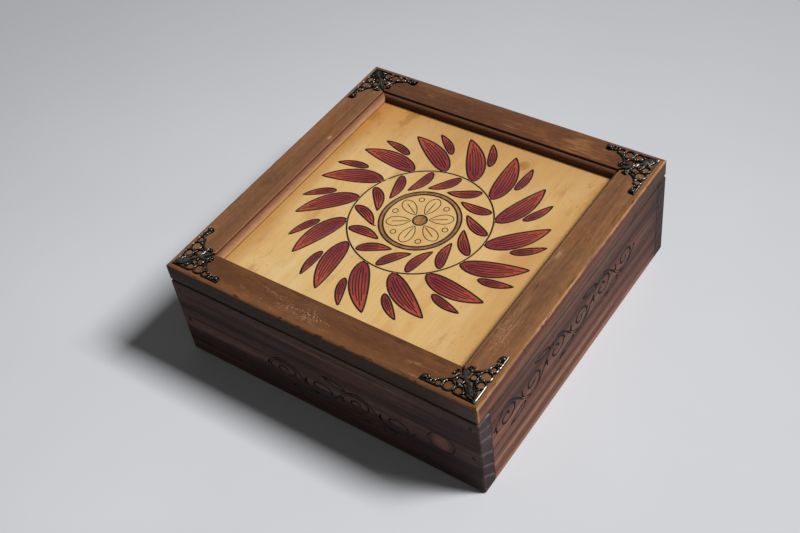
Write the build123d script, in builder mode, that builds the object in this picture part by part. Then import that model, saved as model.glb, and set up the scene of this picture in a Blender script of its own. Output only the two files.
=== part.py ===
from build123d import *
import math
import os

# A square keepsake box of stained pine with a framed lid, in millimetres.
# X is the width, Y the depth with the front at -Y, and Z runs up from the table.

# Outside
box_width = 200.0
box_depth = 200.0
body_height = 57.0
lid_height = 12.0

# Body: the front and back boards lap over the ends of the side boards
board_thickness = 10.0
board_edge_radius = 1.2
joint_arris = 0.3
bottom_thickness = 4.0
bottom_rebate = 5.0

# Lid frame: a flat rail, then a step and a rounded edge down to the sunk panel
rail_width = 21.5
moulding_width = 2.3
moulding_step = 1.4
lid_top_radius = 1.6
lid_lower_radius = 3.0
lid_corner_radius = 1.5
panel_thickness = 3.0
panel_lift = 2.5
panel_rebate = 6.0
panel_clearance = 0.1

# Nails through the lapped corners of the body
nail_shank_radius = 0.7
nail_head_radius = 1.2
nail_head_thickness = 0.6
nail_length = 25.0
nail_height_shares = (0.48, 0.91)

# Pins under the bottom panel, spread along each of its edges
bottom_pin_shank_radius = 0.5
bottom_pin_head_radius = 1.0
bottom_pin_head_thickness = 0.4
bottom_pin_length = 14.0
bottom_pin_place_shares = (-0.36, 0.36)

# Butt hinges let into the back of the seam
hinge_spacing = 110.0
hinge_length = 24.0
hinge_knuckle_count = 3
hinge_inset = 0.8
barrel_radius = 1.6
hinge_pin_radius = 0.8
hinge_pin_clearance = 0.05
hinge_pin_chamfer = 0.15
knuckle_clearance = 0.15
barrel_clearance = 0.2
leaf_width = 8.0
leaf_thickness = 0.9
leaf_sink = 0.1
leaf_clearance = 0.1
screw_head_radius = 1.6
screw_shank_radius = 0.8
screw_length = 8.0
screw_head_angle = 90.0
screw_spread_share = 0.3
screw_setback_share = 0.58

# Pierced corner ornaments, with places and radii as shares of the leg length
corner_leg = 32.0
corner_inset = 3.0
corner_thickness = 0.9
corner_strip = 1.1
leaf_relief = 0.7
leaf_relief_taper = 30.0
border_share = 0.310
eyelet_centre_shares = (0.925, 0.068)
eyelet_radius_share = 0.068
bead_shares = (
    ((0.836, 0.050), 0.050),
    ((0.770, 0.045), 0.045),
)
ring_shares = (
    ((0.683, 0.080), 0.080),
    ((0.520, 0.115), 0.115),
    ((0.340, 0.095), 0.095),
    ((0.418, 0.268), 0.085),
    ((0.540, 0.405), 0.058),
)
spray_shares = (
    ((0.000, 0.000), (0.320, 0.320), 0.052),
    ((0.260, 0.260), (0.530, 0.530), 0.060),
)
side_spray_shares = (
    ((0.010, 0.030), (0.265, 0.115), 0.026),
    ((0.020, 0.030), (0.350, 0.225), 0.024),
    ((0.310, 0.330), (0.575, 0.350), 0.032),
)
sweep_start_shares = (0.735, 0.120)
sweep_end_shares = (0.505, 0.365)
sweep_bow_share = 0.045

# Round-headed pins through the ornaments' eyelets
corner_pin_head_radius = 1.8
corner_pin_head_height = 1.2
corner_pin_shank_radius = 0.6
corner_pin_length = 7.0

# Fits and cuts
fastener_clearance = 0.03
overrun = 1.0

# Worked out from the sizes above
half_width = box_width / 2
half_depth = box_depth / 2
seam = body_height
lid_top = body_height + lid_height
inner_width = box_width - 2 * board_thickness
inner_depth = box_depth - 2 * board_thickness
hinge_axis_y = half_depth - hinge_inset
leaf_pocket_depth = leaf_sink + leaf_thickness
screw_head_depth = (screw_head_radius - screw_shank_radius) / math.tan(math.radians(screw_head_angle / 2))
hinge_places = {"left": -hinge_spacing / 2, "right": hinge_spacing / 2}

os.makedirs("parts", exist_ok=True)


def keep(piece, name):
    """Label a finished piece and write it to its own file."""
    piece.label = name
    export_step(piece, f"parts/{name}.step")


# The four sides, each seen from outside: x runs along the side, y inward and z up, from the table

sides = {
    "front": Plane(origin=(0, -half_depth, 0), x_dir=(1, 0, 0), z_dir=(0, 0, 1)),
    "right": Plane(origin=(half_width, 0, 0), x_dir=(0, 1, 0), z_dir=(0, 0, 1)),
    "back": Plane(origin=(0, half_depth, 0), x_dir=(-1, 0, 0), z_dir=(0, 0, 1)),
    "left": Plane(origin=(-half_width, 0, 0), x_dir=(0, -1, 0), z_dir=(0, 0, 1)),
}
side_lengths = {"front": box_width, "right": box_depth, "back": box_width, "left": box_depth}


def at(side, along, inward, height):
    """A point given along, inward from and above the foot of one side."""
    return sides[side].from_local_coords((along, inward, height))


# Places of the fasteners, as planes that face out of the wood under each head

nail_planes = {"front": [], "back": []}
for side in nail_planes:
    for end in (-1, 1):
        for share in nail_height_shares:
            place = at(side, end * (half_width - board_thickness / 2), 0, share * body_height)
            nail_planes[side].append(Plane(origin=place, z_dir=-sides[side].y_dir))

bottom_pin_planes = {}
for side in sides:
    run = inner_width if side in ("front", "back") else inner_depth
    bottom_pin_planes[side] = [
        Plane(origin=at(side, share * run, board_thickness - bottom_rebate / 2, 0), z_dir=(0, 0, -1))
        for share in bottom_pin_place_shares
    ]


def leaf_screw_planes(facing):
    """Screw places in the hinge leaves: facing 1 is in the box's rim, -1 is under the lid."""
    return [
        Plane(
            origin=(
                centre + end * screw_spread_share * hinge_length,
                hinge_axis_y - screw_setback_share * leaf_width,
                seam - facing * leaf_sink,
            ),
            z_dir=(0, 0, facing),
        )
        for centre in hinge_places.values()
        for end in (-1, 1)
    ]


corner_planes = {
    "front_left": ((-1, -1), (1, 0, 0)),
    "front_right": ((1, -1), (0, 1, 0)),
    "back_right": ((1, 1), (-1, 0, 0)),
    "back_left": ((-1, 1), (0, -1, 0)),
}
for name, ((side_x, side_y), leg) in corner_planes.items():
    apex = (side_x * (half_width - corner_inset), side_y * (half_depth - corner_inset), lid_top)
    corner_planes[name] = Plane(origin=apex, x_dir=leg, z_dir=(0, 0, 1))


def on_corner(shares):
    """A point of the ornament from its shares of the leg, and its twin across the diagonal."""
    first, second = (share * corner_leg for share in shares)
    return (first, second), (second, first)


def corner_pin_points(name, height):
    """The two eyelet centres of one corner, at a height above the lid's top."""
    spots = on_corner(eyelet_centre_shares)
    return [corner_planes[name].from_local_coords((*spot, height)) for spot in spots]


# Body boards

def lapping_board(side):
    """The front or back board, full width, nailed over the ends of the side boards."""
    outer = sides[side]
    with BuildPart() as board:
        with BuildSketch(outer):
            with Locations((0, board_thickness / 2)):
                Rectangle(box_width, board_thickness)
        extrude(amount=body_height)
        face_edges = board.faces().sort_by(Axis(outer.origin, outer.y_dir))[0].edges()
        end_edges = board.edges().filter_by(Axis(outer.origin, outer.y_dir))
        fillet(face_edges + end_edges, radius=board_edge_radius)
        inner_edges = board.faces().sort_by(Axis(outer.origin, outer.y_dir))[-1].edges()
        chamfer(inner_edges.sort_by(Axis.Z)[1:], length=joint_arris)
        with BuildSketch(outer):
            with Locations((0, board_thickness - bottom_rebate / 2)):
                Rectangle(inner_width + 2 * bottom_rebate, bottom_rebate)
        extrude(amount=bottom_thickness, mode=Mode.SUBTRACT)
        with Locations(*nail_planes[side]):
            CounterBoreHole(
                radius=nail_shank_radius + fastener_clearance,
                counter_bore_radius=nail_head_radius + fastener_clearance,
                counter_bore_depth=nail_head_thickness,
                depth=board_thickness,
            )
        with Locations(*bottom_pin_planes[side]):
            Hole(bottom_pin_shank_radius + fastener_clearance, depth=bottom_pin_length + fastener_clearance)
        if side == "back":
            cut_leaf_pockets(-1)
            with Locations(*leaf_screw_planes(1)):
                Hole(screw_shank_radius + fastener_clearance, depth=screw_length + fastener_clearance)
    keep(board.part, f"{side}_board")


def side_board(side):
    """The left or right board, which fits between the front and back boards."""
    outer = sides[side]
    with BuildPart() as board:
        with BuildSketch(outer):
            with Locations((0, board_thickness / 2)):
                Rectangle(inner_depth, board_thickness)
        extrude(amount=body_height)
        face_edges = board.faces().sort_by(Axis(outer.origin, outer.y_dir))[0].edges()
        fillet(face_edges.filter_by(Axis.Y), radius=board_edge_radius)
        outer_edges = board.faces().sort_by(Axis(outer.origin, outer.y_dir))[0].edges()
        inner_edges = board.faces().sort_by(Axis(outer.origin, outer.y_dir))[-1].edges()
        chamfer(outer_edges.filter_by(Axis.Z) + inner_edges.sort_by(Axis.Z)[-1:], length=joint_arris)
        with BuildSketch(outer):
            with Locations((0, board_thickness - bottom_rebate / 2)):
                Rectangle(inner_depth, bottom_rebate)
        extrude(amount=bottom_thickness, mode=Mode.SUBTRACT)
        for lapping in ("front", "back"):
            for plane in nail_planes[lapping]:
                with Locations(plane):
                    Hole(nail_shank_radius + fastener_clearance, depth=nail_length + fastener_clearance)
        with Locations(*bottom_pin_planes[side]):
            Hole(bottom_pin_shank_radius + fastener_clearance, depth=bottom_pin_length + fastener_clearance)
    keep(board.part, f"{side}_board")


def cut_leaf_pockets(direction):
    """Sink both hinges into the wood below (-1) or above (1) the seam, with room for their barrels."""
    for centre in hinge_places.values():
        with BuildSketch(Plane.XY.offset(seam)) as pocket:
            with Locations((centre, hinge_axis_y - leaf_width / 2)):
                Rectangle(hinge_length + 2 * leaf_clearance, leaf_width + 2 * leaf_clearance)
        extrude(pocket.sketch, amount=direction * leaf_pocket_depth, mode=Mode.SUBTRACT)
        with Locations(Plane(origin=(centre, hinge_axis_y, seam), z_dir=(1, 0, 0))):
            Cylinder(
                barrel_radius + barrel_clearance,
                hinge_length + 2 * leaf_clearance,
                mode=Mode.SUBTRACT,
            )


for side in ("front", "back"):
    lapping_board(side)
for side in ("left", "right"):
    side_board(side)

# Bottom panel, let into the underside of the four boards

with BuildPart() as bottom_panel:
    with BuildSketch():
        Rectangle(
            inner_width + 2 * (bottom_rebate - panel_clearance),
            inner_depth + 2 * (bottom_rebate - panel_clearance),
        )
    extrude(amount=bottom_thickness)
    for planes in bottom_pin_planes.values():
        with Locations(*planes):
            CounterBoreHole(
                radius=bottom_pin_shank_radius + fastener_clearance,
                counter_bore_radius=bottom_pin_head_radius + fastener_clearance,
                counter_bore_depth=bottom_pin_head_thickness,
                depth=bottom_thickness,
            )
keep(bottom_panel.part, "bottom_panel")


# Fasteners, each turned about Z with the top of a sunk head or the seat of a round one at zero

def flat_head(head_radius, head_thickness, shank_radius, length):
    """A nail with a flat head, whose top is at zero."""
    tip = 2 * shank_radius
    with BuildPart() as nail:
        with BuildSketch(Plane.XZ):
            with BuildLine():
                Polyline(
                    (0, 0),
                    (head_radius, 0),
                    (head_radius, -head_thickness),
                    (shank_radius, -head_thickness),
                    (shank_radius, tip - length),
                    (0, -length),
                    close=True,
                )
            make_face()
        revolve(axis=Axis.Z)
    return nail.part


def countersunk_screw():
    """A wood screw, whose head is flush at zero."""
    tip = 2 * screw_shank_radius
    with BuildPart() as screw:
        with BuildSketch(Plane.XZ):
            with BuildLine():
                Polyline(
                    (0, 0),
                    (screw_head_radius, 0),
                    (screw_shank_radius, -screw_head_depth),
                    (screw_shank_radius, tip - screw_length),
                    (0, -screw_length),
                    close=True,
                )
            make_face()
        revolve(axis=Axis.Z)
    return screw.part


def round_head_pin():
    """A domed pin, whose head sits on zero."""
    tip = 2 * corner_pin_shank_radius
    dome_radius = (corner_pin_head_radius**2 + corner_pin_head_height**2) / (2 * corner_pin_head_height)
    with BuildPart() as pin:
        with BuildSketch(Plane.XZ):
            with BuildLine():
                RadiusArc((0, corner_pin_head_height), (corner_pin_head_radius, 0), dome_radius)
                Polyline(
                    (corner_pin_head_radius, 0),
                    (corner_pin_shank_radius, 0),
                    (corner_pin_shank_radius, tip - corner_pin_length),
                    (0, -corner_pin_length),
                    (0, corner_pin_head_height),
                )
            make_face()
        revolve(axis=Axis.Z)
    return pin.part


def fastener_group(name, fastener, planes):
    """One node of identical fasteners, one at each plane."""
    with BuildPart() as group:
        with Locations(*planes):
            add(fastener)
    keep(group.part, name)


fastener_group(
    "corner_nails",
    flat_head(nail_head_radius, nail_head_thickness, nail_shank_radius, nail_length),
    nail_planes["front"] + nail_planes["back"],
)
fastener_group(
    "bottom_pins",
    flat_head(
        bottom_pin_head_radius,
        bottom_pin_head_thickness,
        bottom_pin_shank_radius,
        bottom_pin_length,
    ),
    [plane for planes in bottom_pin_planes.values() for plane in planes],
)
fastener_group("box_leaf_screws", countersunk_screw(), leaf_screw_planes(1))
fastener_group("lid_leaf_screws", countersunk_screw(), leaf_screw_planes(-1))


# Lid rails, mitred at the corners

def lid_rail(side):
    """One rail: its moulded section run along the side, then cut to a mitre at both ends."""
    foot = sides[side].offset(seam)
    length = side_lengths[side]
    flat_edge = rail_width - moulding_width
    moulding_foot = lid_height - moulding_step - moulding_width
    panel_seat = panel_lift + panel_thickness
    bevel = lid_corner_radius * (1 - math.sqrt(0.5))
    with BuildPart() as rail:
        with BuildSketch(Plane(origin=foot.origin, x_dir=foot.y_dir, z_dir=foot.x_dir)):
            with BuildLine():
                Polyline(
                    (lid_lower_radius, 0),
                    (rail_width - panel_rebate, 0),
                    (rail_width - panel_rebate, panel_seat),
                    (rail_width, panel_seat),
                    (rail_width, moulding_foot),
                )
                RadiusArc(
                    (rail_width, moulding_foot),
                    (flat_edge, lid_height - moulding_step),
                    -moulding_width,
                )
                Polyline(
                    (flat_edge, lid_height - moulding_step),
                    (flat_edge, lid_height),
                    (lid_top_radius, lid_height),
                )
                RadiusArc((lid_top_radius, lid_height), (0, lid_height - lid_top_radius), -lid_top_radius)
                Line((0, lid_height - lid_top_radius), (0, lid_lower_radius))
                RadiusArc((0, lid_lower_radius), (lid_lower_radius, 0), -lid_lower_radius)
            make_face()
        extrude(amount=length / 2, both=True)
        with BuildSketch(foot):
            with BuildLine():
                Polyline(
                    (length / 2 - bevel, bevel),
                    (length / 2 - rail_width, rail_width),
                    (rail_width - length / 2, rail_width),
                    (bevel - length / 2, bevel),
                )
                RadiusArc(
                    (bevel - length / 2, bevel),
                    (lid_corner_radius - length / 2, 0),
                    -lid_corner_radius,
                )
                Line((lid_corner_radius - length / 2, 0), (length / 2 - lid_corner_radius, 0))
                RadiusArc(
                    (length / 2 - lid_corner_radius, 0),
                    (length / 2 - bevel, bevel),
                    -lid_corner_radius,
                )
            make_face()
        extrude(amount=lid_height, mode=Mode.INTERSECT)
        for name in corner_planes:
            with Locations(*corner_pin_points(name, 0)):
                Hole(
                    corner_pin_shank_radius + fastener_clearance,
                    depth=corner_pin_length - corner_thickness + fastener_clearance,
                )
        if side == "back":
            cut_leaf_pockets(1)
            with Locations(*leaf_screw_planes(-1)):
                Hole(screw_shank_radius + fastener_clearance, depth=screw_length + fastener_clearance)
    keep(rail.part, f"lid_rail_{side}")


for side in sides:
    lid_rail(side)

# Lid panel, let into the underside of the frame

with BuildPart() as lid_panel:
    with BuildSketch(Plane.XY.offset(seam + panel_lift)):
        Rectangle(
            box_width - 2 * (rail_width - panel_rebate + panel_clearance),
            box_depth - 2 * (rail_width - panel_rebate + panel_clearance),
        )
    extrude(amount=panel_thickness)
keep(lid_panel.part, "lid_panel")


# Hinges

def hinge_leaf(name, centre, direction, first_knuckle):
    """A leaf below (-1) or above (1) the seam, with every second knuckle from the first given."""
    knuckle_length = hinge_length / hinge_knuckle_count
    with BuildPart() as leaf:
        with BuildSketch(Plane.XY.offset(seam + direction * leaf_sink)):
            with Locations((centre, hinge_axis_y - leaf_width / 2)):
                Rectangle(hinge_length, leaf_width)
        extrude(amount=direction * leaf_thickness)
        for index in range(hinge_knuckle_count):
            middle = centre - hinge_length / 2 + (index + 1 / 2) * knuckle_length
            own = index % 2 == first_knuckle
            with Locations(Plane(origin=(middle, hinge_axis_y, seam), z_dir=(1, 0, 0))):
                if own:
                    Cylinder(barrel_radius, knuckle_length - knuckle_clearance)
                else:
                    Cylinder(
                        barrel_radius + knuckle_clearance,
                        knuckle_length + knuckle_clearance,
                        mode=Mode.SUBTRACT,
                    )
        with Locations(Plane(origin=(centre, hinge_axis_y, seam), z_dir=(1, 0, 0))):
            Cylinder(
                hinge_pin_radius + hinge_pin_clearance,
                hinge_length + overrun,
                mode=Mode.SUBTRACT,
            )
        for plane in leaf_screw_planes(-direction):
            if abs(plane.origin.X - centre) < hinge_length / 2:
                with Locations(plane):
                    CounterSinkHole(
                        radius=screw_shank_radius + fastener_clearance,
                        counter_sink_radius=screw_head_radius + fastener_clearance,
                        depth=leaf_thickness + overrun,
                        counter_sink_angle=screw_head_angle,
                    )
    keep(leaf.part, name)


def hinge_pin(name, centre):
    """The pin through one hinge's knuckles."""
    with BuildPart() as pin:
        with Locations(Plane(origin=(centre, hinge_axis_y, seam), z_dir=(1, 0, 0))):
            Cylinder(hinge_pin_radius, hinge_length)
        chamfer(pin.edges().filter_by(GeomType.CIRCLE), length=hinge_pin_chamfer)
    keep(pin.part, name)


for hand, centre in hinge_places.items():
    hinge_leaf(f"hinge_{hand}_box_leaf", centre, -1, 0)
    hinge_leaf(f"hinge_{hand}_lid_leaf", centre, 1, 1)
    hinge_pin(f"hinge_{hand}_pin", centre)


# Pierced corner ornaments

def all_sprays():
    """Start, end and bow of every pointed leaf of an ornament."""
    sprays = []
    for start, end, share in spray_shares:
        sprays.append((on_corner(start)[0], on_corner(end)[0], -share * corner_leg))
    for start, end, share in side_spray_shares:
        for twin in (0, 1):
            sprays.append((on_corner(start)[twin], on_corner(end)[twin], -share * corner_leg))
    return sprays


def sweeps():
    """The two hollow strips along the inner edge of an ornament, bowed towards its apex."""
    bow = sweep_bow_share * corner_leg
    starts = on_corner(sweep_start_shares)
    ends = on_corner(sweep_end_shares)
    return [(starts[0], ends[0], bow), (ends[1], starts[1], bow)]


# The ornament by itself: borders, beads, rings and sprays in a thin plate, with the sprays in relief

with BuildPart() as ornament:
    with BuildSketch():
        border_length = border_share * corner_leg
        Rectangle(border_length, corner_strip, align=Align.MIN)
        Rectangle(corner_strip, border_length, align=Align.MIN)
        for start, end, bow in sweeps():
            with BuildLine():
                SagittaArc(start, end, bow)
            trace(line_width=corner_strip)
        with Locations(*on_corner(eyelet_centre_shares)):
            Circle(eyelet_radius_share * corner_leg)
        for centre, share in bead_shares + ring_shares:
            with Locations(*on_corner(centre)):
                Circle(share * corner_leg)
        for centre, share in ring_shares:
            with Locations(*on_corner(centre)):
                Circle(share * corner_leg - corner_strip, mode=Mode.SUBTRACT)
        for start, end, bow in all_sprays():
            with BuildLine():
                SagittaArc(start, end, bow)
                SagittaArc(end, start, bow)
            make_face()
        with Locations(*on_corner(eyelet_centre_shares)):
            Circle(corner_pin_shank_radius + fastener_clearance, mode=Mode.SUBTRACT)
    extrude(amount=corner_thickness)
    for start, end, bow in all_sprays():
        with BuildSketch(Plane.XY.offset(corner_thickness)):
            with BuildLine():
                SagittaArc(start, end, bow)
                SagittaArc(end, start, bow)
            make_face()
        extrude(amount=leaf_relief, taper=leaf_relief_taper)

for name, plane in corner_planes.items():
    with BuildPart() as corner:
        with Locations(plane):
            add(ornament.part)
    keep(corner.part, f"corner_{name}")

fastener_group(
    "corner_pins",
    round_head_pin(),
    [Plane(origin=spot) for name in corner_planes for spot in corner_pin_points(name, corner_thickness)],
)
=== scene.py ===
import math
from functools import reduce

import bmesh
import bpy
from mathutils import Matrix, Vector


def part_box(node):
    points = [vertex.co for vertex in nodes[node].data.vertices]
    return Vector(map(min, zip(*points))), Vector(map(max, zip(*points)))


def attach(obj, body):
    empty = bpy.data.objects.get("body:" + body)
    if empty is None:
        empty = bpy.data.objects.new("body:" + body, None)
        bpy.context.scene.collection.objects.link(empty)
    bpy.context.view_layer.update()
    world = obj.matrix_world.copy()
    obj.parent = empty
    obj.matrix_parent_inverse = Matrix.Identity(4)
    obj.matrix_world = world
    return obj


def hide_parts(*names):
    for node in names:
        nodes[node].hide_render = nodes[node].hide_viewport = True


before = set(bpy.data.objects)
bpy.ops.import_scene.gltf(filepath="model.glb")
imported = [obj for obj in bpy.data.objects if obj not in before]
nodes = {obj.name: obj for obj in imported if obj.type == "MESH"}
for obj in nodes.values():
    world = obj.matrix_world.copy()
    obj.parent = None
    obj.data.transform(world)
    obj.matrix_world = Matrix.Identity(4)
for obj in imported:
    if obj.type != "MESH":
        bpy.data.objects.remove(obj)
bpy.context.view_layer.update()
scene = bpy.context.scene
scene.view_settings.view_transform = "Standard"

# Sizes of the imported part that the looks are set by, in metres. The flat drawings below are in millimetres.
MM = 0.001
half_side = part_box("front_board")[1].x
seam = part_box("front_board")[1].z
lid_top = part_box("lid_rail_front")[1].z
panel_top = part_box("lid_panel")[1].z
inner_half = -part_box("front_board")[1].y
rail_flat = 19.2 * MM
corner_inset = 3.0 * MM


# Shader nodes

def tone(text):
    """A colour written as the eye sees it, in the linear values that Blender mixes."""
    values = [int(text[i:i + 2], 16) / 255 for i in (0, 2, 4)]
    return (*(v / 12.92 if v <= 0.04045 else ((v + 0.055) / 1.055) ** 2.4 for v in values), 1.0)


class Shader:
    """The nodes of one material or of the world, with a short call for each kind that recurs."""

    def __init__(self, owner):
        self.owner = owner
        owner.use_nodes = True
        self.nodes = owner.node_tree.nodes
        self.links = owner.node_tree.links
        self.nodes.clear()

    def put(self, socket, value):
        if isinstance(value, bpy.types.NodeSocket):
            self.links.new(value, socket)
        else:
            socket.default_value = tone(value) if isinstance(value, str) else value

    def feed(self, node, *values):
        """Set a node's inputs in their order, and give its first output."""
        for socket, value in zip(node.inputs, values):
            self.put(socket, value)
        return node.outputs[0]

    def math(self, operation, *values):
        node = self.nodes.new("ShaderNodeMath")
        node.operation = operation
        return self.feed(node, *values)

    def total(self, *values):
        return reduce(lambda a, b: self.math("ADD", a, b), values)

    def product(self, *values):
        return reduce(lambda a, b: self.math("MULTIPLY", a, b), values)

    def minus(self, first, second):
        return self.math("SUBTRACT", first, second)

    def larger(self, first, second):
        return self.math("MAXIMUM", first, second)

    def smaller(self, first, second):
        return self.math("MINIMUM", first, second)

    def absolute(self, value):
        return self.math("ABSOLUTE", value)

    def step(self, value, low, high, bottom=0.0, top=1.0):
        """A smooth rise from bottom to top as the value goes from low to high."""
        node = self.nodes.new("ShaderNodeMapRange")
        node.interpolation_type = "SMOOTHSTEP"
        return self.feed(node, value, low, high, bottom, top)

    def span(self, value, low, high, bottom=0.0, top=1.0):
        """A step between two lengths in millimetres."""
        return self.step(value, low * MM, high * MM, bottom, top)

    def mix(self, share, first, second, blend="MIX"):
        node = self.nodes.new("ShaderNodeMix")
        node.data_type = "RGBA"
        node.blend_type = blend
        for index, value in ((0, share), (6, first), (7, second)):
            self.put(node.inputs[index], value)
        return node.outputs[2]

    def over(self, share, colour):
        """Lay a share of a colour over the one that the surface has so far."""
        self.colour = self.mix(share, self.colour, colour)

    def dim(self, *factors):
        """Multiply the colour so far by a factor each for red, green and blue."""
        self.colour = self.mix(1.0, self.colour, self.combine(*factors), "MULTIPLY")

    def position(self):
        """The object's own coordinates, as a vector and as three numbers."""
        vector = self.nodes.new("ShaderNodeTexCoord").outputs["Object"]
        split = self.nodes.new("ShaderNodeSeparateXYZ")
        self.put(split.inputs[0], vector)
        return vector, *split.outputs

    def combine(self, x, y, z):
        return self.feed(self.nodes.new("ShaderNodeCombineXYZ"), x, y, z)

    def noise(self, vector, factors=(1.0, 1.0, 1.0), seed=0.0, detail=2.0, roughness=0.5):
        """Noise in a space that the factors stretch and the seed shifts."""
        stretch = self.nodes.new("ShaderNodeVectorMath")
        stretch.operation = "MULTIPLY_ADD"
        spot = self.feed(stretch, vector, factors, (seed, seed * 0.7, seed * 1.3))
        fourth, scale = 0.0, 1.0
        return self.feed(self.nodes.new("ShaderNodeTexNoise"), spot, fourth, scale, detail, roughness)

    def bump(self, height, distance):
        node = self.nodes.new("ShaderNodeBump")
        node.inputs["Distance"].default_value = distance
        self.put(node.inputs["Height"], height)
        return node.outputs[0]

    def finish(self, roughness, normal=None, **constants):
        """The surface itself, in the colour so far. A constant goes to the surface's own socket."""
        surface = self.nodes.new("ShaderNodeBsdfPrincipled")
        self.put(surface.inputs["Base Color"], self.colour)
        self.put(surface.inputs["Roughness"], roughness)
        if normal is not None:
            self.put(surface.inputs["Normal"], normal)
        for name, value in constants.items():
            surface.inputs[name.replace("_", " ").title().replace("Ior", "IOR")].default_value = value
        output = self.nodes.new("ShaderNodeOutputMaterial")
        self.put(output.inputs["Surface"], surface.outputs[0])
        return self.owner


class Wood(Shader):
    """Solid wood: growth rings round a pith that runs along one axis, so faces and ends agree."""

    def __init__(self, name, along, pith, tilt, ring, seed, knot=None, flat=False):
        super().__init__(bpy.data.materials.new(name))
        _, self.x, self.y, z = self.position()
        run, depth = (self.x, self.y) if along == "X" else (self.y, self.x)
        self.run, self.depth, self.z = run, depth, z
        self.grain = self.combine(run, depth, z)
        wander = self.waver(5, 16, seed, 9, 1.5)
        sway = self.waver(4, 13, seed + 9, 9, 1.5)
        across = self.total(self.product(run, tilt), depth, -pith[0], wander)
        height = self.total(z, -pith[1], sway)
        radius = self.edge(across, height)
        self.knot = None
        if knot:
            place, level, size = knot
            gap_run = self.product(self.minus(run, place), 0.8)
            gap_up = self.minus(depth if flat else z, level)
            ripple = self.waver(120, 120, seed + 4, 4)
            away = self.total(self.edge(gap_run, gap_up), ripple)
            radius = self.total(radius, self.step(away, 3.2 * size, 0.6 * size, 0.0, 1.1 * size))
            self.knot = self.step(away, 1.05 * size, 0.55 * size)
            self.rim = self.product(
                self.step(away, 1.34 * size, 1.24 * size), self.step(away, 1.12 * size, 1.22 * size)
            )
            self.heart = self.step(away, 1.00 * size, 0.50 * size)
        uneven = self.noise(self.combine(self.product(radius, 70.0), seed, 0.0), detail=1.0)
        growth = self.math("FRACT", self.total(self.math("DIVIDE", radius, ring), uneven))
        self.late = self.product(self.step(growth, 0.30, 0.88), self.step(growth, 1.0, 0.91))
        self.fibre = self.grained(28, 1300, seed, 3.0, 0.6)
        self.streak = self.grained(5, 190, seed + 2, 4.0, 0.6)
        self.blotch = self.grained(11, 26, seed + 5, 4.0, 0.6)
        self.fleck = self.step(self.grained(75, 900, seed + 7, 1.0), 0.64, 0.74)
        self.line = self.step(self.grained(4, 430, seed + 13, 2.0), 0.58, 0.70)
        self.band = self.grained(2.2, 75, seed + 17, 4.0, 0.62)

    def grained(self, along, across, seed, detail=2.0, roughness=0.5):
        """Noise with its own scale along the grain and across it, per metre."""
        return self.noise(self.grain, (along, across, across), seed, detail, roughness)

    def swing(self, factors, seed, detail=4.0):
        """Noise about zero."""
        return self.minus(self.noise(self.grain, factors, seed, detail, 0.6), 0.5)

    def waver(self, along, across, seed, size, detail=4.0):
        """A length in millimetres that swings about zero."""
        return self.product(self.swing((along, across, across), seed, detail), size * MM)

    def mark(self, place, size, seed):
        """A ragged spot on a level face, at a place along and across the grain."""
        gap_run = self.math("DIVIDE", self.minus(self.run, place[0] * MM), size[0] * MM)
        gap_across = self.math("DIVIDE", self.minus(self.depth, place[1] * MM), size[1] * MM)
        ragged = self.product(self.swing((90, 700, 700), seed), 3.6)
        return self.step(self.total(self.edge(gap_run, gap_across), ragged), 1.2, 0.1)

    def edge(self, first, second):
        """The distance from a line, such as an edge, from two distances at right angles to each other."""
        return self.math("SQRT", self.total(self.product(first, first), self.product(second, second)))

    def outward(self):
        """The larger of the distances from the middle along X and Y."""
        return self.larger(self.absolute(self.x), self.absolute(self.y))

    def figure(self, early, late, strength, streak_dark, streak_light, streaks=0.75, fibres=0.18):
        """Start with the wood's own colour: rings, then long streaks, then fine fibres."""
        self.colour = self.mix(self.product(self.late, strength), early, late)
        self.over(self.step(self.streak, 0.52, 0.30, 0.0, streaks), streak_dark)
        self.over(self.step(self.streak, 0.54, 0.74, 0.0, 0.8 * streaks), streak_light)
        shade = self.step(self.fibre, 0.25, 0.75, 1 - fibres, 1 + 0.9 * fibres)
        self.dim(shade, shade, shade)

    def relief(self):
        """Raised late wood and fibres."""
        return self.total(
            self.product(self.late, 0.8),
            self.product(self.fibre, 0.9),
            self.product(self.streak, 0.8),
            self.product(self.fleck, -0.6),
        )


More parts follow.
